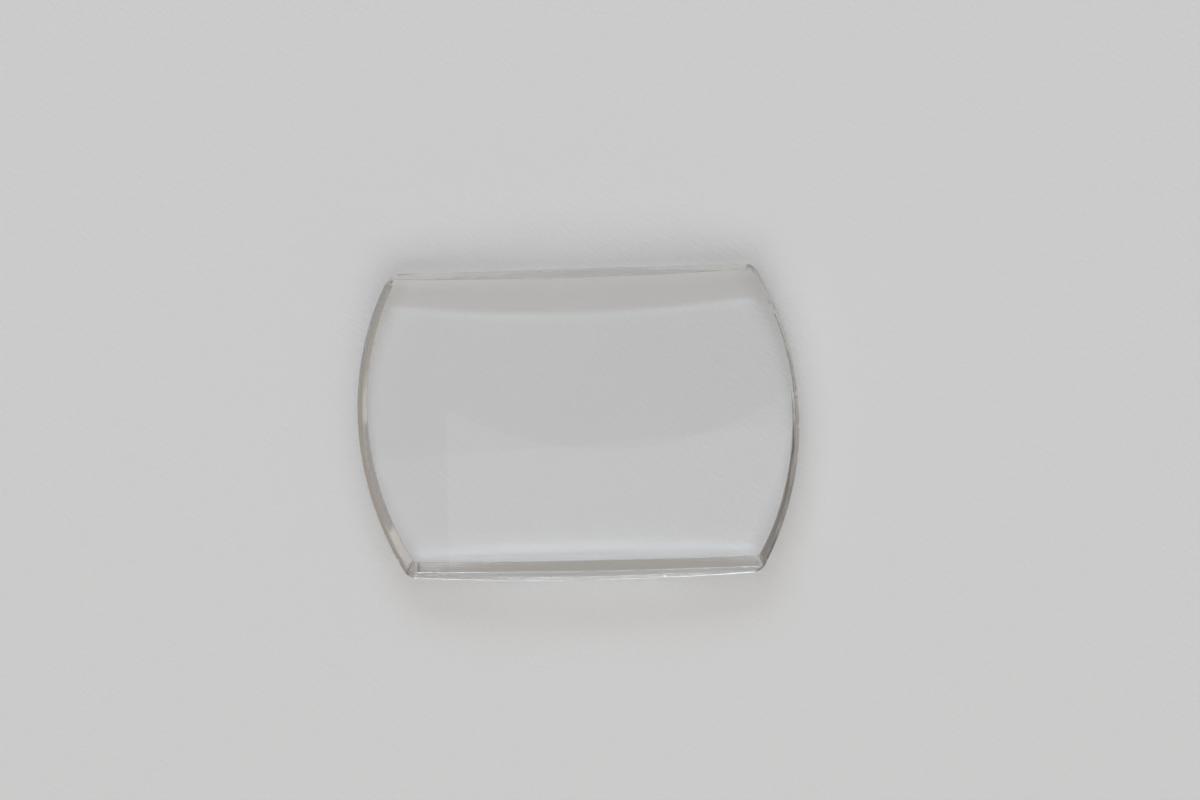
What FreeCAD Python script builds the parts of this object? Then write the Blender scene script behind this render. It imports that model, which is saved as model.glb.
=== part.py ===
import FreeCAD, Part
import os
import Sketcher

# Watch glass: the clear crystal of a barrel-shaped wristwatch, ground from one slab of glass.
# Frame: millimetres, origin at the centre of the flat base, +X along the length
# (12 o'clock to 6 o'clock), +Y across the width, +Z out of the dome.

os.makedirs("parts", exist_ok=True)
doc = FreeCAD.newDocument("watch_glass")

# ---------------------------------------------------------------- driving dimensions

DIMENSIONS = [
    ("overall_length", "30.0"),      # tip to tip of the two bowed ends
    ("overall_width", "21.1"),       # between the two straight sides
    ("end_bow_radius", "21.2"),      # plan radius of each bowed end
    ("corner_radius", "0.9"),        # plan radius of the four corners
    ("centre_thickness", "3.9"),     # flat base to the top of the dome, at the centre
    ("end_thickness", "2.25"),       # flat base to the dome, at the tip of each end
    ("base_bevel_inset", "0.64"),    # lower bevel, how far the flat base stands in from the wall
    ("base_bevel_height", "0.95"),   # lower bevel, how high up the wall it reaches
    ("rim_bevel_width", "0.34"),     # upper bevel, across the dome
    ("rim_bevel_drop", "0.08"),      # upper bevel, down the wall
]

sheet = doc.addObject("Spreadsheet::Sheet", "Dimensions")
for row, (alias, value) in enumerate(DIMENSIONS, start=1):
    sheet.set(f"A{row}", alias)
    sheet.set(f"B{row}", value)
    sheet.setAlias(f"B{row}", alias)

# Worked out from the driving dimensions: the dome is a cylinder lying along Y, whose section is
# an arc through the centre thickness and both end thicknesses.
DERIVED = [
    ("half_length", "=overall_length / 2"),
    ("half_width", "=overall_width / 2"),
    ("dome_rise", "=centre_thickness - end_thickness"),
    ("dome_radius", "=(half_length * half_length + dome_rise * dome_rise) / (2 * dome_rise)"),
    ("cutter_height", "=centre_thickness + 2"),
]
for row, (alias, formula) in enumerate(DERIVED, start=len(DIMENSIONS) + 2):
    sheet.set(f"A{row}", alias)
    sheet.set(f"B{row}", formula)
    sheet.setAlias(f"B{row}", alias)
doc.recompute()


def size(alias):
    """The value of one cell of the sheet, in millimetres."""
    return float(sheet.get(alias))


def point(x, y):
    """A point of a sketch."""
    return FreeCAD.Vector(x, y, 0)


def origin_plane(body, role):
    """The origin plane of a body that has this role."""
    return next(f for f in body.Origin.OriginFeatures if f.Role == role)


def new_sketch(body, name, role):
    """An empty sketch on one of the body's own origin planes."""
    sketch = body.newObject("Sketcher::SketchObject", name)
    sketch.AttachmentSupport = [(origin_plane(body, role), "")]
    sketch.MapMode = "FlatFace"
    return sketch


def constrain(sketch, *constraint):
    """Add a constraint to a sketch and return its index."""
    return sketch.addConstraint(Sketcher.Constraint(*constraint))


def drive(sketch, index, expression):
    """Bind one constraint of a sketch to the sheet."""
    sketch.setExpression(f"Constraints[{index}]", expression)


def edges_where(shape, test):
    """The names of the edges of a shape whose own test is true."""
    return [f"Edge{i}" for i, edge in enumerate(shape.Edges, start=1) if test(edge)]


# ---------------------------------------------------------------- crystal

body = doc.addObject("PartDesign::Body", "Crystal")
body.Label = "crystal"

# Plan outline: two straight sides joined by two bowed ends.
START, END, CENTRE = 1, 2, 3
X_AXIS, Y_AXIS = -1, -2
half_length = size("half_length")
half_width = size("half_width")
bow = size("end_bow_radius")
bow_centre = bow - half_length
corner_x = (bow ** 2 - half_width ** 2) ** 0.5 - bow_centre

plan = new_sketch(body, "PlanOutline", "XY_Plane")
east = plan.addGeometry(
    Part.Arc(point(corner_x, -half_width), point(half_length, 0), point(corner_x, half_width)))
north = plan.addGeometry(
    Part.LineSegment(point(corner_x, half_width), point(-corner_x, half_width)))
west = plan.addGeometry(
    Part.Arc(point(-corner_x, half_width), point(-half_length, 0), point(-corner_x, -half_width)))
south = plan.addGeometry(
    Part.LineSegment(point(-corner_x, -half_width), point(corner_x, -half_width)))
constrain(plan, "Coincident", east, END, north, START)
constrain(plan, "Coincident", north, END, west, START)
constrain(plan, "Coincident", west, END, south, START)
constrain(plan, "Coincident", south, END, east, START)
constrain(plan, "Horizontal", north)
constrain(plan, "Horizontal", south)
constrain(plan, "PointOnObject", east, CENTRE, X_AXIS)
constrain(plan, "PointOnObject", west, CENTRE, X_AXIS)
drive(plan, constrain(plan, "DistanceY", -1, 1, north, START, half_width), "Dimensions.half_width")
drive(plan, constrain(plan, "DistanceY", south, START, -1, 1, half_width), "Dimensions.half_width")
drive(plan, constrain(plan, "Radius", east, bow), "Dimensions.end_bow_radius")
drive(plan, constrain(plan, "Radius", west, bow), "Dimensions.end_bow_radius")
bow_offset = "Dimensions.end_bow_radius - Dimensions.half_length"
drive(plan, constrain(plan, "DistanceX", east, CENTRE, -1, 1, bow_centre), bow_offset)
drive(plan, constrain(plan, "DistanceX", -1, 1, west, CENTRE, bow_centre), bow_offset)

slab = body.newObject("PartDesign::Pad", "Slab")
slab.Profile = plan
slab.setExpression("Length", "Dimensions.centre_thickness")
doc.recompute()

# Plan corners, rounded so that the glass drops into a milled bezel.
upright = edges_where(slab.Shape, lambda e: e.BoundBox.XLength + e.BoundBox.YLength < 1e-6)
corners = body.newObject("PartDesign::Fillet", "Corners")
corners.Base = (slab, upright)
corners.setExpression("Radius", "Dimensions.corner_radius")
doc.recompute()

# Dome: everything above a cylinder along Y is ground away.
section = new_sketch(body, "DomeSection", "XZ_Plane")
crown = size("centre_thickness")
end_height = size("end_thickness")
cutter_top = size("cutter_height")
arc = section.addGeometry(
    Part.Arc(point(-half_length, end_height), point(0, crown), point(half_length, end_height)))
right = section.addGeometry(
    Part.LineSegment(point(half_length, end_height), point(half_length, cutter_top)))
top = section.addGeometry(
    Part.LineSegment(point(half_length, cutter_top), point(-half_length, cutter_top)))
left = section.addGeometry(
    Part.LineSegment(point(-half_length, cutter_top), point(-half_length, end_height)))
arc_left, arc_right = START, END
if section.getPoint(arc, START).x > 0:
    arc_left, arc_right = END, START
constrain(section, "Coincident", arc, arc_right, right, START)
constrain(section, "Coincident", right, END, top, START)
constrain(section, "Coincident", top, END, left, START)
constrain(section, "Coincident", left, END, arc, arc_left)
constrain(section, "Vertical", right)
constrain(section, "Vertical", left)
constrain(section, "Symmetric", top, START, top, END, Y_AXIS)
constrain(section, "PointOnObject", arc, CENTRE, Y_AXIS)
drive(section, constrain(section, "DistanceX", top, END, top, START, 2 * half_length),
      "Dimensions.overall_length")
drive(section, constrain(section, "DistanceY", -1, 1, arc, arc_right, end_height),
      "Dimensions.end_thickness")
drive(section, constrain(section, "Radius", arc, size("dome_radius")), "Dimensions.dome_radius")
drive(section, constrain(section, "DistanceY", -1, 1, top, START, cutter_top),
      "Dimensions.cutter_height")

dome = body.newObject("PartDesign::Pocket", "Dome")
dome.Profile = section
dome.Type = "ThroughAll"
dome.Midplane = True
doc.recompute()

# Lower bevel: the steep polished slope that lets the glass drop into its bezel.
foot_edges = edges_where(dome.Shape, lambda e: e.BoundBox.ZMax < 1e-6)
base_bevel = body.newObject("PartDesign::Chamfer", "BaseBevel")
base_bevel.Base = (dome, foot_edges)
base_bevel.ChamferType = "Two distances"
base_bevel.setExpression("Size", "Dimensions.base_bevel_height")
base_bevel.setExpression("Size2", "Dimensions.base_bevel_inset")
doc.recompute()

# Upper bevel: a low facet all round, between the wall and the dome.
lowest_rim = size("end_thickness") - 1e-3
rim_edges = edges_where(base_bevel.Shape, lambda e: e.BoundBox.ZMin > lowest_rim)
rim_bevel = body.newObject("PartDesign::Chamfer", "RimBevel")
rim_bevel.Base = (base_bevel, rim_edges)
rim_bevel.ChamferType = "Two distances"
rim_bevel.setExpression("Size", "Dimensions.rim_bevel_drop")
rim_bevel.setExpression("Size2", "Dimensions.rim_bevel_width")
doc.recompute()

# ---------------------------------------------------------------- checks and files

for obj in doc.Objects:
    if "Invalid" in obj.State or "Error" in obj.State:
        raise RuntimeError(f"{obj.Name} failed: {obj.State}")

for piece in [body]:
    shape = piece.Shape
    if shape.isNull() or not shape.isValid() or len(shape.Solids) != 1:
        raise RuntimeError(f"{piece.Label} is not one valid solid")
    box = shape.BoundBox
    print(piece.Label, "volume", round(shape.Volume, 2), "mm3, box",
          [round(v, 3) for v in (box.XMin, box.YMin, box.ZMin, box.XMax, box.YMax, box.ZMax)])
    shape.exportStep(f"parts/{piece.Label}.step")
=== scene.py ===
"""Watch glass: the bare crystal of a barrel-shaped wristwatch, lying dome up on a pale table.

Everything is in metres, in the frame of the design: origin at the centre of the flat base,
+X along the length, +Y across the width, +Z out of the dome.
"""

import math

import bpy
import numpy as np
from bpy.props import FloatProperty, FloatVectorProperty, PointerProperty
from mathutils import Matrix, Vector


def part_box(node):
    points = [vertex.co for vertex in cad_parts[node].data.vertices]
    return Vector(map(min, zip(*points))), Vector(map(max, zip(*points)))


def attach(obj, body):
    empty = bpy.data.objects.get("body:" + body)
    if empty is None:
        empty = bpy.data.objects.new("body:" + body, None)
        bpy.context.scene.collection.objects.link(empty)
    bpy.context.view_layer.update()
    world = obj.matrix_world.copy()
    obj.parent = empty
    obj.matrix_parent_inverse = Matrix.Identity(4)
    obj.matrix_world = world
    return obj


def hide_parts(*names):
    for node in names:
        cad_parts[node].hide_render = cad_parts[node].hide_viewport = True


bl_info = {
    "name": "Watch glass",
    "version": (1, 0, 0),
    "blender": (4, 5, 0),
    "location": "3D View > Sidebar > Watch glass",
    "description": "Makes the clear crystal of a barrel-shaped wristwatch and its stage",
    "category": "Add Mesh",
}

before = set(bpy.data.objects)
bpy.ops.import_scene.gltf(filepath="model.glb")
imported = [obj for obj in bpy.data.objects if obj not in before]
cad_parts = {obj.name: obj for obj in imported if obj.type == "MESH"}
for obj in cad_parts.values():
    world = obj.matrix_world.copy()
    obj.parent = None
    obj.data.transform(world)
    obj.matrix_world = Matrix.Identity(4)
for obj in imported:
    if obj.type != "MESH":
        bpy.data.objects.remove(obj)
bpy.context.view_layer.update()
_, CRYSTAL_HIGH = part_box("crystal")
MM = 0.001


# ---------------------------------------------------------------- settings

class CrystalSizes(bpy.types.PropertyGroup):
    """Sizes of the ground glass that its outer box doesn't give."""

    end_bow_radius: FloatProperty(
        name="End bow radius", description="Plan radius of the two bowed ends",
        default=21.2 * MM, unit="LENGTH", precision=5)
    corner_radius: FloatProperty(
        name="Corner radius", description="Plan radius of the four corners",
        default=0.9 * MM, unit="LENGTH", precision=5)
    end_thickness: FloatProperty(
        name="End thickness", description="Flat base to the dome, at the tip of each end",
        default=2.25 * MM, unit="LENGTH", precision=5)
    base_bevel_inset: FloatProperty(
        name="Base bevel inset", description="How far the flat base stands in from the wall",
        default=0.64 * MM, unit="LENGTH", precision=5)
    base_bevel_height: FloatProperty(
        name="Base bevel height", description="How high up the wall the lower bevel reaches",
        default=0.95 * MM, unit="LENGTH", precision=5)
    rim_bevel_width: FloatProperty(
        name="Rim bevel width", description="Width of the upper bevel across the dome",
        default=0.34 * MM, unit="LENGTH", precision=5)
    rim_bevel_drop: FloatProperty(
        name="Rim bevel drop", description="How far the upper bevel comes down the wall",
        default=0.08 * MM, unit="LENGTH", precision=5)
    edge_softness: FloatProperty(
        name="Edge softness", description="How far polishing has rounded each edge, to each side of it",
        default=0.06 * MM, unit="LENGTH", precision=6)


class GlassFinish(bpy.types.PropertyGroup):
    """Look of the polished glass."""

    tint: FloatVectorProperty(
        name="Tint", description="Colour that the glass gives to what is seen through it",
        subtype="COLOR", size=3, min=0.0, max=1.0, default=(0.945, 0.95, 0.955))
    body_colour: FloatVectorProperty(
        name="Body colour", description="Colour that light takes on over a long way in the glass",
        subtype="COLOR", size=3, min=0.0, max=1.0, default=(0.45, 0.42, 0.38))
    body_density: FloatProperty(
        name="Body density", description="Share of light lost to the body colour over a metre",
        default=20.0, min=0.0)
    refractive_index: FloatProperty(
        name="Refractive index", description="Refractive index of mineral glass",
        default=1.52, min=1.0, max=2.0)
    scratch_depth: FloatProperty(
        name="Scratch depth", description="Strength of the hairline scratches on the dome",
        default=0.03, min=0.0, max=1.0)
    grinding_depth: FloatProperty(
        name="Grinding depth", description="Strength of the fine lines along the ground edge",
        default=0.12, min=0.0, max=1.0)


class StageSettings(bpy.types.PropertyGroup):
    """Table top, lights and camera."""

    table_colour: FloatVectorProperty(
        name="Table colour", description="Colour of the table top",
        subtype="COLOR", size=3, min=0.0, max=1.0, default=(0.82, 0.825, 0.84))
    grain_size: FloatProperty(
        name="Grain size", description="Length of one fold of the fine grain",
        default=0.6 * MM, unit="LENGTH", precision=5)
    window_power: FloatProperty(
        name="Window power", description="Power of the large light beyond the far side",
        default=2.6, unit="POWER")
    fill_power: FloatProperty(
        name="Fill power", description="Power of the large light over the near side",
        default=0.8, unit="POWER")
    camera_distance: FloatProperty(
        name="Camera distance", description="From the camera to the table, along its view",
        default=164.1 * MM, unit="LENGTH", precision=4)
    camera_lean: FloatVectorProperty(
        name="Camera lean", description="Slope of the view towards +X and +Y, and turn about +Z",
        size=3, default=(0.08, 0.277, -0.047))
    lens: FloatProperty(
        name="Lens", description="Focal length for a sensor 36 mm wide", default=72.0)


# ---------------------------------------------------------------- shapes

SIDE_STEPS = 100      # steps along half of a straight side
END_STEPS = 50        # steps along half of a bowed end
CORNER_STEPS = 10     # steps round one corner
ROUND_STEPS = 5       # steps across one softened edge
EDGE_MARGIN = 4       # flat strip kept beside the base and dome edges, in softnesses


class Crystal:
    """Ground watch glass: how its outline and its dome are worked out from its sizes."""

    def __init__(self, sizes):
        self.sizes = sizes
        self.half_length = CRYSTAL_HIGH.x
        self.half_width = CRYSTAL_HIGH.y
        self.crown = CRYSTAL_HIGH.z
        rise = self.crown - sizes.end_thickness
        self.dome_radius = (self.half_length ** 2 + rise ** 2) / (2 * rise)

    def dome(self, x):
        """Height of the dome: a circle across the length, whose top is the crown, carried straight
        along the width, so the height at x is the crown less the radius plus the circle's own
        height, root of radius squared less x squared."""
        return self.crown - self.dome_radius + np.sqrt(self.dome_radius ** 2 - x ** 2)

    def quarter(self, inset):
        """One quarter of the plan outline moved inwards by inset, from the tip of the +X end to
        the middle of the +Y side: an arc about the end's centre, a corner arc that touches both
        that arc and the side, and the straight side. Rows are points (x, y)."""
        bow = self.sizes.end_bow_radius
        bow_centre = self.half_length - bow
        corner = self.sizes.corner_radius - inset
        side = self.half_width - inset
        corner_y = side - corner
        reach = bow - inset - corner
        corner_x = bow_centre + math.sqrt(reach ** 2 - corner_y ** 2)
        touch = math.atan2(corner_y, corner_x - bow_centre)
        end_turn = np.linspace(0, touch, END_STEPS, endpoint=False)
        end = np.stack([bow_centre + (bow - inset) * np.cos(end_turn),
                        (bow - inset) * np.sin(end_turn)], axis=1)
        corner_turn = np.linspace(touch, math.pi / 2, CORNER_STEPS, endpoint=False)
        bend = np.stack([corner_x + corner * np.cos(corner_turn),
                         corner_y + corner * np.sin(corner_turn)], axis=1)
        along = np.linspace(corner_x, 0, SIDE_STEPS + 1)
        straight = np.stack([along, np.full_like(along, side)], axis=1)
        return np.concatenate([end, bend, straight])

    def outline(self, inset):
        """The whole plan outline moved inwards by inset: the quarter mirrored in both axes.
        It starts at the tip of the +X end and runs anticlockwise; rows are points (x, y)."""
        first = self.quarter(inset)
        second = first[-2::-1] * (-1, 1)
        upper = np.concatenate([first, second])
        lower = upper[-2:0:-1] * (1, -1)
        return np.concatenate([upper, lower])


def softened(corner, before, after, reach):
    """A softened edge in the section: the parabola that leaves the edge's two faces at the
    distance reach from it. Point at t is (1-t)^2 start + 2t(1-t) corner + t^2 finish. The three
    points are (inset, height) with a height for each point of the outline."""
    start = stepped(corner, before, reach)
    finish = stepped(corner, after, reach)
    t = np.linspace(0, 1, ROUND_STEPS + 1)
    return [tuple((1 - s) ** 2 * a + 2 * s * (1 - s) * c + s ** 2 * b
                  for a, c, b in zip(start, corner, finish)) for s in t]


def stepped(point, towards, distance):
    """The section point that lies at this distance from a point, on the way towards another."""
    run = towards[0] - point[0]
    climb = towards[1] - point[1]
    length = np.sqrt(run ** 2 + climb ** 2).mean()
    return point[0] + run / length * distance, point[1] + climb / length * distance


def crystal_rings(crystal):
    """Section of the glass carried round its outline: rings of (inset, heights) from the flat
    base over the lower bevel, the wall and the upper bevel to the dome, with every edge
    softened and a ring close to each side of it, which keeps the faces flat."""
    s = crystal.sizes
    soft = s.edge_softness
    edge_x = crystal.outline(0)[:, 0]
    rim_x = crystal.outline(s.rim_bevel_width)[:, 0]
    flat = np.zeros(len(edge_x))
    margin = EDGE_MARGIN * soft
    inner_x = crystal.outline(s.rim_bevel_width + margin)[:, 0]
    base_in = (s.base_bevel_inset + margin, flat)
    base_edge = (s.base_bevel_inset, flat)
    wall_foot = (0.0, flat + s.base_bevel_height)
    wall_top = (0.0, crystal.dome(edge_x) - s.rim_bevel_drop)
    rim_edge = (s.rim_bevel_width, crystal.dome(rim_x))
    dome_in = (s.rim_bevel_width + margin, crystal.dome(inner_x))
    path = [base_in, base_edge, wall_foot, wall_top, rim_edge, dome_in]
    rings = [base_in]
    for before, corner, after in zip(path, path[1:], path[2:]):
        rings.append(stepped(corner, before, 2 * soft))
        rings.extend(softened(corner, before, after, soft))
        rings.append(stepped(corner, after, 2 * soft))
    rings.append(dome_in)
    return rings


def ring_points(crystal, rings):
    """Points of the rings in space, as an array of rings by outline points by (x, y, z)."""
    plans = np.stack([crystal.outline(inset) for inset, _ in rings])
    heights = np.stack([np.broadcast_to(height, plans.shape[1]) for _, height in rings])
    return np.concatenate([plans, heights[:, :, None]], axis=2)


def patch_grid(edge_ids):
    """Where the ends of a patch's four sides lie on a closed ring whose points have these ids:
    the four corners are the middles of the corner bends. Returns the ids along the four sides
    as (south, north, west, east), each from its -X or -Y end."""
    corner = END_STEPS + CORNER_STEPS // 2
    across = 2 * (SIDE_STEPS + CORNER_STEPS - CORNER_STEPS // 2)
    along = 2 * corner
    turned = np.roll(edge_ids, corner)
    east = turned[:along + 1]
    north = turned[along:along + across + 1][::-1]
    west = turned[along + across:2 * along + across + 1][::-1]
    south = np.append(turned[2 * along + across:], turned[0])
    return south, north, west, east


def filled_patch(points, edge_ids):
    """A patch that fills a closed ring: each inner point is the blend of the ruled surface
    between the west and east sides and the one between the south and north sides, less the
    bilinear surface through the four corners. Returns the ids of the whole grid, the new plan
    points, and leaves heights to the caller."""
    south, north, west, east = patch_grid(edge_ids)
    u = np.linspace(0, 1, len(south))[:, None, None]
    v = np.linspace(0, 1, len(west))[None, :, None]
    low, high = points[south][:, None, :2], points[north][:, None, :2]
    left, right = points[west][None, :, :2], points[east][None, :, :2]
    ruled = (1 - v) * low + v * high + (1 - u) * left + u * right
    corners = ((1 - u) * (1 - v) * low[0] + u * (1 - v) * low[-1]
               + (1 - u) * v * high[0] + u * v * high[-1])
    plan = ruled - corners
    ids = np.empty(plan.shape[:2], dtype=np.int64)
    ids[:, 0], ids[:, -1], ids[0, :], ids[-1, :] = south, north, west, east
    inner = plan[1:-1, 1:-1].reshape(-1, 2)
    ids[1:-1, 1:-1] = len(points) + np.arange(len(inner)).reshape(plan.shape[0] - 2, -1)
    return ids, inner


def grid_faces(ids):
    """Four-sided faces between neighbouring rows and columns of a grid of point ids."""
    return np.stack([ids[:-1, :-1], ids[1:, :-1], ids[1:, 1:], ids[:-1, 1:]], axis=2).reshape(-1, 4)


def travelled(points):
    """Distance from the first point of a line to each of its points, along the line."""
    steps = np.linalg.norm(np.diff(points, axis=0), axis=1)
    return np.concatenate([[0.0], np.cumsum(steps)])


def edge_places(rings):
    """Place of each ring point on the ground edge as (u, v): the distance round the outline from
    the +X tip, and the distance up the section. The last column closes each ring."""
    widest = rings[np.argmax(rings[:, 0, 0])]
    round_way = travelled(np.concatenate([widest, widest[:1]]))
    up_way = travelled(rings[:, 0])
    return np.stack(np.broadcast_arrays(round_way[None, :], up_way[:, None]), axis=2)


def crystal_surface(crystal):
    """The closed surface of the glass: the rings joined into a band, and a filled patch for the
    base and one for the dome. Returns points, faces, for each face 1 on the ground edge, and for
    each face corner its place on the surface: (u, v) on the edge and (x, y) elsewhere."""
    rings = ring_points(crystal, crystal_rings(crystal))
    count, around, _ = rings.shape
    points = chipped(crystal, rings).reshape(-1, 3)
    ids = np.arange(count * around).reshape(count, around)
    closed = np.concatenate([ids, ids[:, :1]], axis=1)
    band = grid_faces(closed)[:, ::-1]
    places = edge_places(rings)
    place_ids = np.arange(count * (around + 1)).reshape(count, around + 1)
    band_places = places.reshape(-1, 2)[grid_faces(place_ids)[:, ::-1]]

    base_ids, base_plan = filled_patch(points, ids[0])
    points = np.concatenate([points, np.column_stack([base_plan, np.zeros(len(base_plan))])])
    dome_ids, dome_plan = filled_patch(points, ids[-1])
    points = np.concatenate([points, np.column_stack([dome_plan, crystal.dome(dome_plan[:, 0])])])
    base = grid_faces(base_ids)[:, ::-1]
    dome = grid_faces(dome_ids)
    faces = np.concatenate([band, base, dome])
    edge = np.concatenate([np.ones(len(band)), np.zeros(len(base) + len(dome))])
    flat_places = points[np.concatenate([base, dome])][:, :, :2]
    return points, faces, edge, np.concatenate([band_places, flat_places])


# Small chips along the upper edge: nearest plan point (x, y), and the radius of the ball that
# scoops each one, in millimetres.
CHIPS = [
    (5.5, -10.5, 0.20),
    (5.1, -10.5, 0.14),
    (6.9, -10.5, 0.12),
    (-11.8, -8.9, 0.22),
    (13.1, 7.6, 0.18),
    (14.6, 1.9, 0.18),
    (14.9, -0.4, 0.16),
]
CHIP_DEPTH = 0.45     # share of the ball's radius that bites into the glass


def chipped(crystal, rings):
    """The rings with each chip scooped out: its ball's centre lies outside the upper edge, along
    the line half way between outwards and up, and every point inside the ball moves to the
    ball's surface, straight away from the centre."""
    points = rings.reshape(-1, 3).copy()
    wall = crystal.outline(0)
    inside = crystal.outline(crystal.sizes.rim_bevel_width)
    for x, y, radius in CHIPS:
        nearest = np.argmin(np.linalg.norm(wall - np.array([x, y]) * MM, axis=1))
        outwards = wall[nearest] - inside[nearest]
        outwards = outwards / np.linalg.norm(outwards)
        away = np.array([*outwards, 1.0]) / math.sqrt(2)
        foot = np.array([*wall[nearest], crystal.dome(wall[nearest, 0]) - crystal.sizes.rim_bevel_drop])
        ball = radius * MM
        centre = foot + away * ball * (1 - CHIP_DEPTH)
        offset = points - centre
        distance = np.linalg.norm(offset, axis=1)
        struck = distance < ball
        points[struck] = centre + offset[struck] / distance[struck, None] * ball
    return points.reshape(rings.shape)


def new_mesh_object(name, points, faces):
    """A mesh object at the origin from arrays of points and four-sided faces."""
    mesh = bpy.data.meshes.new(name)
    mesh.from_pydata(points.tolist(), [], faces.tolist())
    mesh.update()
    piece = bpy.data.objects.new(name, mesh)
    bpy.context.scene.collection.objects.link(piece)
    return piece


# ---------------------------------------------------------------- materials

SCRATCH_DRAW = (120, 9000, 1)     # hairline scratches to the metre, along and across
GRINDING_DRAW = (250, 14000, 1)   # grinding lines to the metre, along and up the edge
SCRATCH_START = 0.70
GRINDING_START = 0.40
FOLD_START = 0.40
FOLD_SLIMNESS = 2.4               # length of a fold of the table top, over its width
FOLD_TURN = math.radians(32)


def new_material(name):
    """An empty node material with its Principled BSDF, as (material, nodes, links, bsdf)."""
    material = bpy.data.materials.new(name)
    material.use_nodes = True
    tree = material.node_tree
    return material, tree.nodes, tree.links, tree.nodes["Principled BSDF"]


def hairline_group():
    """Node group of short straight lines: noise drawn out by Scale, cut off below Start. Height
    is 0 between the lines and rises to 1 on them. It is built once."""
    if "hairlines" in bpy.data.node_groups:
        return bpy.data.node_groups["hairlines"]
    group = bpy.data.node_groups.new("hairlines", "ShaderNodeTree")
    group.interface.new_socket("Vector", in_out="INPUT", socket_type="NodeSocketVector")
    group.interface.new_socket("Scale", in_out="INPUT", socket_type="NodeSocketVector")
    group.interface.new_socket("Start", in_out="INPUT", socket_type="NodeSocketFloat")
    group.interface.new_socket("Height", in_out="OUTPUT", socket_type="NodeSocketFloat")
    nodes, links = group.nodes, group.links
    given = nodes.new("NodeGroupInput")
    result = nodes.new("NodeGroupOutput")
    drawn = nodes.new("ShaderNodeVectorMath")
    drawn.operation = "MULTIPLY"
    noise = nodes.new("ShaderNodeTexNoise")
    noise.inputs["Scale"].default_value = 1.0
    noise.inputs["Detail"].default_value = 2.0
    cut = nodes.new("ShaderNodeMapRange")
    cut.inputs["From Max"].default_value = 0.8
    links.new(given.outputs["Vector"], drawn.inputs[0])
    links.new(given.outputs["Scale"], drawn.inputs[1])
    links.new(drawn.outputs["Vector"], noise.inputs["Vector"])
    links.new(noise.outputs["Fac"], cut.inputs["Value"])
    links.new(given.outputs["Start"], cut.inputs["From Min"])
    links.new(cut.outputs["Result"], result.inputs["Height"])
    return group


def add_hairlines(nodes, group, scale, start):
    """A use of the hairline group with this drawn-out scale and cut-off."""
    lines = nodes.new("ShaderNodeGroup")
    lines.node_tree = group
    lines.inputs["Scale"].default_value = scale
    lines.inputs["Start"].default_value = start
    return lines


def glass_material(finish, group):
    """Polished clear mineral glass: a few hairline scratches on its faces, and fine grinding
    lines that run along its edge."""
    material, nodes, links, bsdf = new_material("polished_glass")
    bsdf.inputs["Base Color"].default_value = (*finish.tint, 1.0)
    bsdf.inputs["IOR"].default_value = finish.refractive_index
    bsdf.inputs["Transmission Weight"].default_value = 1.0
    bsdf.inputs["Roughness"].default_value = 0.0
    body = nodes.new("ShaderNodeVolumeAbsorption")
    body.inputs["Color"].default_value = (*finish.body_colour, 1.0)
    body.inputs["Density"].default_value = finish.body_density
    links.new(body.outputs["Volume"], nodes["Material Output"].inputs["Volume"])

    place = nodes.new("ShaderNodeUVMap")
    place.uv_map = "surface"
    edge = nodes.new("ShaderNodeAttribute")
    edge.attribute_name = "ground_edge"
    scratches = add_hairlines(nodes, group, SCRATCH_DRAW, SCRATCH_START)
    grinding = add_hairlines(nodes, group, GRINDING_DRAW, GRINDING_START)
    scratch_relief = nodes.new("ShaderNodeMath")
    scratch_relief.operation = "MULTIPLY"
    scratch_relief.inputs[1].default_value = finish.scratch_depth
    grinding_relief = nodes.new("ShaderNodeMath")
    grinding_relief.operation = "MULTIPLY"
    grinding_relief.inputs[1].default_value = finish.grinding_depth
    mix = nodes.new("ShaderNodeMix")
    bump = nodes.new("ShaderNodeBump")
    bump.inputs["Distance"].default_value = 0.005 * MM
    links.new(place.outputs["UV"], scratches.inputs["Vector"])
    links.new(place.outputs["UV"], grinding.inputs["Vector"])
    links.new(edge.outputs["Fac"], mix.inputs["Factor"])
    links.new(scratches.outputs["Height"], scratch_relief.inputs[0])
    links.new(grinding.outputs["Height"], grinding_relief.inputs[0])
    links.new(scratch_relief.outputs["Value"], mix.inputs["A"])
    links.new(grinding_relief.outputs["Value"], mix.inputs["B"])
    links.new(mix.outputs["Result"], bump.inputs["Height"])
    links.new(bump.outputs["Normal"], bsdf.inputs["Normal"])
    return material


def table_material(stage, group):
    """Plain pale table top with a faint relief of short slanting folds."""
    material, nodes, links, bsdf = new_material("table_top")
    place = nodes.new("ShaderNodeTexCoord")
    turn = nodes.new("ShaderNodeMapping")
    turn.inputs["Rotation"].default_value = (0, 0, FOLD_TURN)
    folds_to_metre = 1 / stage.grain_size
    draw = (folds_to_metre, FOLD_SLIMNESS * folds_to_metre, 1)
    folds = add_hairlines(nodes, group, draw, FOLD_START)
    bump = nodes.new("ShaderNodeBump")
    bump.inputs["Strength"].default_value = 0.28
    bump.inputs["Distance"].default_value = 0.05 * MM
    links.new(place.outputs["Object"], turn.inputs["Vector"])
    links.new(turn.outputs["Vector"], folds.inputs["Vector"])
    links.new(folds.outputs["Height"], bump.inputs["Height"])
    links.new(bump.outputs["Normal"], bsdf.inputs["Normal"])
    bsdf.inputs["Base Color"].default_value = (*stage.table_colour, 1.0)
    bsdf.inputs["Roughness"].default_value = 0.6
    return material


# ---------------------------------------------------------------- stage

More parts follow.
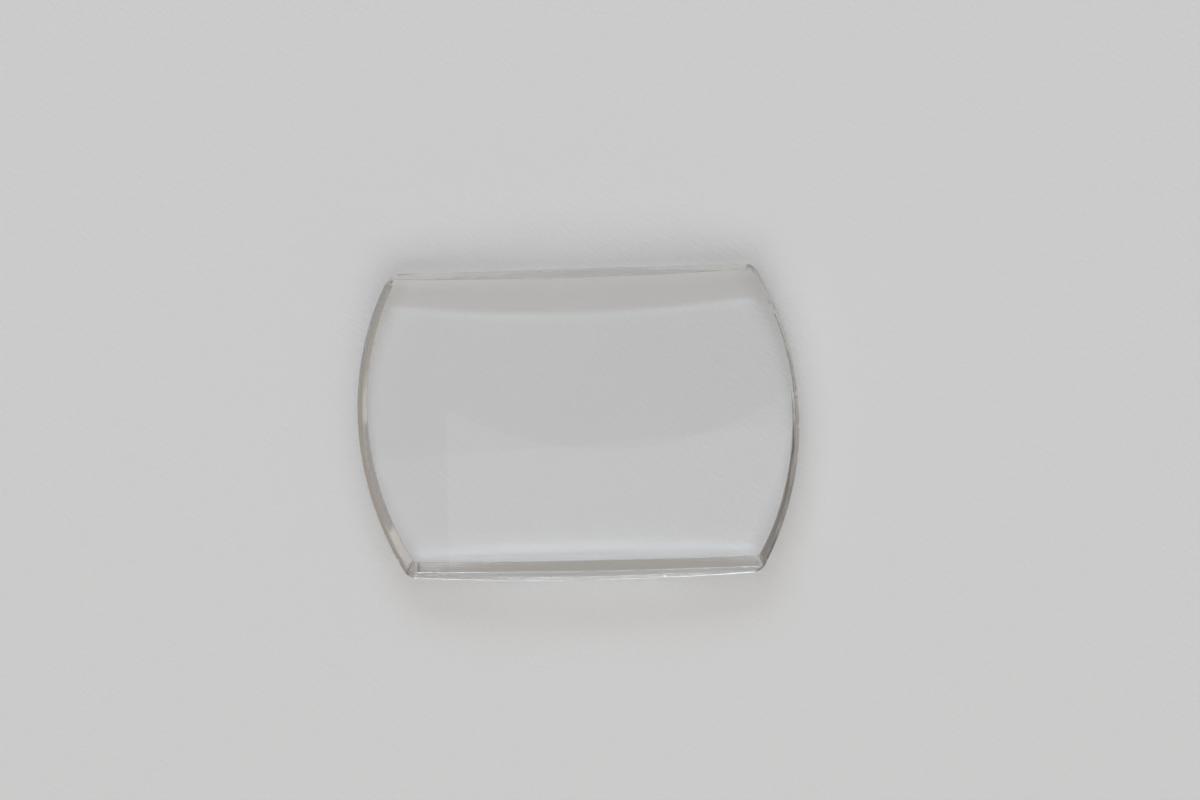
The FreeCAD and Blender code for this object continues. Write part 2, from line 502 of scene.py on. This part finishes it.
AIM = (1.45 * MM, 1.12 * MM, 0.0)   # where the camera's view meets the table
GLASS_BOUNCES = 32                  # reflections inside the glass that are followed
FLOOR_HALF = 1.0
FLOOR_GAP = 0.02 * MM
WINDOW_PLACE = (0.0, 0.93, 0.6)
WINDOW_SIZE = (0.8, 0.32)
WINDOW_COLOUR = (0.85, 1.0, 1.16)   # daylight, cooler than the room
FILL_PLACE = (0.0, -0.55, 0.85)
FILL_SIZE = (0.9, 0.6)
CARD_HALF = (0.075, 0.027, 0.004)   # half the card's width, depth and thickness
CARD_RISE = 0.012                   # from the lens back to the middle of the card
CARD_COLOUR = (0.78, 0.76, 0.74)

# Plain warm grey walls, dim towards -X, by compass bearing in degrees from +X towards +Y.
WALLS = [
    (-180, (0.17, 0.14, 0.13)),
    (-90, (0.50, 0.48, 0.45)),
    (0, (0.50, 0.46, 0.40)),
    (90, (0.45, 0.43, 0.40)),
    (180, (0.17, 0.14, 0.13)),
]
CEILING = (0.78, 0.76, 0.73)
ROOM_TOP = 0.60       # sine of the elevation up to which the walls reach
CEILING_FOOT = 0.78   # sine of the elevation from which the ceiling is plain


def make_world():
    """Soft surround: plain walls that run into each other, and a paler ceiling."""
    world = bpy.data.worlds.new("studio")
    bpy.context.scene.world = world
    world.use_nodes = True
    nodes, links = world.node_tree.nodes, world.node_tree.links
    background = nodes["Background"]
    place = nodes.new("ShaderNodeTexCoord")
    turn = nodes.new("ShaderNodeTexGradient")
    turn.gradient_type = "RADIAL"
    room = nodes.new("ShaderNodeValToRGB")
    stops = [((bearing + 180) / 360, colour) for bearing, colour in WALLS]
    fill_ramp(room.color_ramp, stops)
    height = nodes.new("ShaderNodeSeparateXYZ")
    overhead = nodes.new("ShaderNodeMapRange")
    overhead.interpolation_type = "SMOOTHSTEP"
    overhead.inputs["From Min"].default_value = ROOM_TOP
    overhead.inputs["From Max"].default_value = CEILING_FOOT
    mix = nodes.new("ShaderNodeMix")
    mix.data_type = "RGBA"
    mix.inputs["B"].default_value = (*CEILING, 1.0)
    links.new(place.outputs["Generated"], turn.inputs["Vector"])
    links.new(turn.outputs["Fac"], room.inputs["Fac"])
    links.new(place.outputs["Generated"], height.inputs["Vector"])
    links.new(height.outputs["Z"], overhead.inputs["Value"])
    links.new(overhead.outputs["Result"], mix.inputs["Factor"])
    links.new(room.outputs["Color"], mix.inputs["A"])
    links.new(mix.outputs["Result"], background.inputs["Color"])
    background.inputs["Strength"].default_value = 1.0


def fill_ramp(ramp, stops):
    """Set a colour ramp to these (position, colour) stops."""
    while len(ramp.elements) > 1:
        ramp.elements.remove(ramp.elements[-1])
    ramp.elements[0].position = stops[0][0]
    ramp.elements[0].color = (*stops[0][1], 1.0)
    for position, colour in stops[1:]:
        ramp.elements.new(position).color = (*colour, 1.0)


def make_light(name, place, size, power, colour=(1.0, 1.0, 1.0)):
    """A rectangular area light that faces the glass."""
    data = bpy.data.lights.new(name, "AREA")
    data.shape = "RECTANGLE"
    data.size, data.size_y = size
    data.energy = power
    data.color = colour
    light = bpy.data.objects.new(name, data)
    light.location = place
    light.rotation_euler = (-Vector(place)).to_track_quat("-Z", "Y").to_euler()
    bpy.context.scene.collection.objects.link(light)


def make_camera(stage):
    """The camera: above the glass, leaning to the +Y side, turned a little about the upright."""
    lean_x, lean_y, turn = stage.camera_lean
    sight = Matrix.Rotation(turn, 3, "Z") @ Vector((lean_x, lean_y, 1.0)).normalized()
    up = Matrix.Rotation(turn, 3, "Z") @ Vector((0, 1, 0))
    target = Vector(AIM)
    right = (-sight).cross(up).normalized()
    over = right.cross(-sight).normalized()
    place = Matrix((right, over, sight)).transposed().to_4x4()
    data = bpy.data.cameras.new("camera")
    data.sensor_width = 36.0
    data.lens = stage.lens
    data.clip_start = 0.005
    camera = bpy.data.objects.new("camera", data)
    bpy.context.scene.collection.objects.link(camera)
    camera.matrix_world = Matrix.Translation(target + sight * stage.camera_distance) @ place
    bpy.context.scene.camera = camera
    return camera


# ---------------------------------------------------------------- operators

class WATCHGLASS_OT_stage(bpy.types.Operator):
    """Make the table top, the lights and the camera"""

    bl_idname = "watchglass.stage"
    bl_label = "Stage"

    def execute(self, context):
        stage = context.scene.watch_glass_stage
        camera = make_camera(stage)
        q = FLOOR_HALF
        corners = np.array([(-q, -q), (q, -q), (q, q), (-q, q)])
        points = np.column_stack([corners, np.full(4, -FLOOR_GAP)])
        table = new_mesh_object("table_top", points, np.array([[0, 1, 2, 3]]))
        table.data.materials.append(table_material(stage, hairline_group()))
        make_world()
        make_light("window", WINDOW_PLACE, WINDOW_SIZE, stage.window_power, WINDOW_COLOUR)
        make_light("fill", FILL_PLACE, FILL_SIZE, stage.fill_power)
        card = lens_card(camera)
        context.scene.view_settings.view_transform = "Standard"
        let_light_through(context.scene.cycles)
        return {"FINISHED"}


def let_light_through(paths):
    """Let light cross the glass as often as it does inside a ground block, and keep it sharp."""
    paths.max_bounces = GLASS_BOUNCES
    paths.glossy_bounces = GLASS_BOUNCES
    paths.transmission_bounces = GLASS_BOUNCES
    paths.blur_glossy = 0.0


def lens_card(camera):
    """A plain grey card just above the lens, where a camera would stand in the glass's view."""
    signs = np.array([(x, y, z) for z in (-1, 1) for y in (-1, 1) for x in (-1, 1)])
    local = signs * CARD_HALF + (0, 0, CARD_RISE)
    world = camera.matrix_world
    points = np.array([world @ Vector(p) for p in local])
    faces = np.array([(0, 2, 3, 1), (4, 5, 7, 6), (0, 1, 5, 4),
                      (2, 6, 7, 3), (0, 4, 6, 2), (1, 3, 7, 5)])
    card = new_mesh_object("lens_card", points, faces)
    material, _, _, bsdf = new_material("grey_card")
    bsdf.inputs["Base Color"].default_value = (*CARD_COLOUR, 1.0)
    card.data.materials.append(material)
    return card


class WATCHGLASS_OT_crystal(bpy.types.Operator):
    """Make the ground and polished crystal"""

    bl_idname = "watchglass.crystal"
    bl_label = "Crystal"

    def execute(self, context):
        crystal = Crystal(context.scene.watch_glass_sizes)
        points, faces, edge, places = crystal_surface(crystal)
        piece = new_mesh_object("watch_crystal", points, faces)
        mesh = piece.data
        mesh.uv_layers.new(name="surface").uv.foreach_set("vector", places.ravel())
        mesh.attributes.new("ground_edge", "FLOAT", "FACE").data.foreach_set("value", edge)
        mesh.shade_smooth()
        mesh.materials.append(glass_material(context.scene.watch_glass_finish, hairline_group()))
        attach(piece, "root")
        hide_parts("crystal")
        return {"FINISHED"}


class WATCHGLASS_PT_panel(bpy.types.Panel):
    """Sidebar panel that lists the steps and their sizes"""

    bl_idname = "WATCHGLASS_PT_panel"
    bl_label = "Watch glass"
    bl_space_type = "VIEW_3D"
    bl_region_type = "UI"
    bl_category = "Watch glass"

    def draw(self, context):
        layout = self.layout
        for owner, operator in PANEL_ROWS:
            box = layout.box()
            box.operator(operator.bl_idname)
            for name in owner:
                settings = getattr(context.scene, name)
                for prop in settings.bl_rna.properties:
                    if prop.identifier not in ("rna_type", "name"):
                        box.prop(settings, prop.identifier)


PANEL_ROWS = (
    (("watch_glass_stage",), WATCHGLASS_OT_stage),
    (("watch_glass_sizes", "watch_glass_finish"), WATCHGLASS_OT_crystal),
)
SETTINGS = {
    "watch_glass_sizes": CrystalSizes,
    "watch_glass_finish": GlassFinish,
    "watch_glass_stage": StageSettings,
}
CLASSES = (*SETTINGS.values(), WATCHGLASS_OT_stage, WATCHGLASS_OT_crystal, WATCHGLASS_PT_panel)


def register():
    """Register the classes and hang the settings on the scene."""
    for cls in CLASSES:
        bpy.utils.register_class(cls)
    for name, cls in SETTINGS.items():
        setattr(bpy.types.Scene, name, PointerProperty(type=cls))


def unregister():
    """Take back what register did."""
    for name in SETTINGS:
        delattr(bpy.types.Scene, name)
    for cls in reversed(CLASSES):
        bpy.utils.unregister_class(cls)


def main():
    """Register the settings, then make the stage and the glass."""
    register()
    bpy.ops.watchglass.stage()
    bpy.ops.watchglass.crystal()


if __name__ == "__main__":
    main()
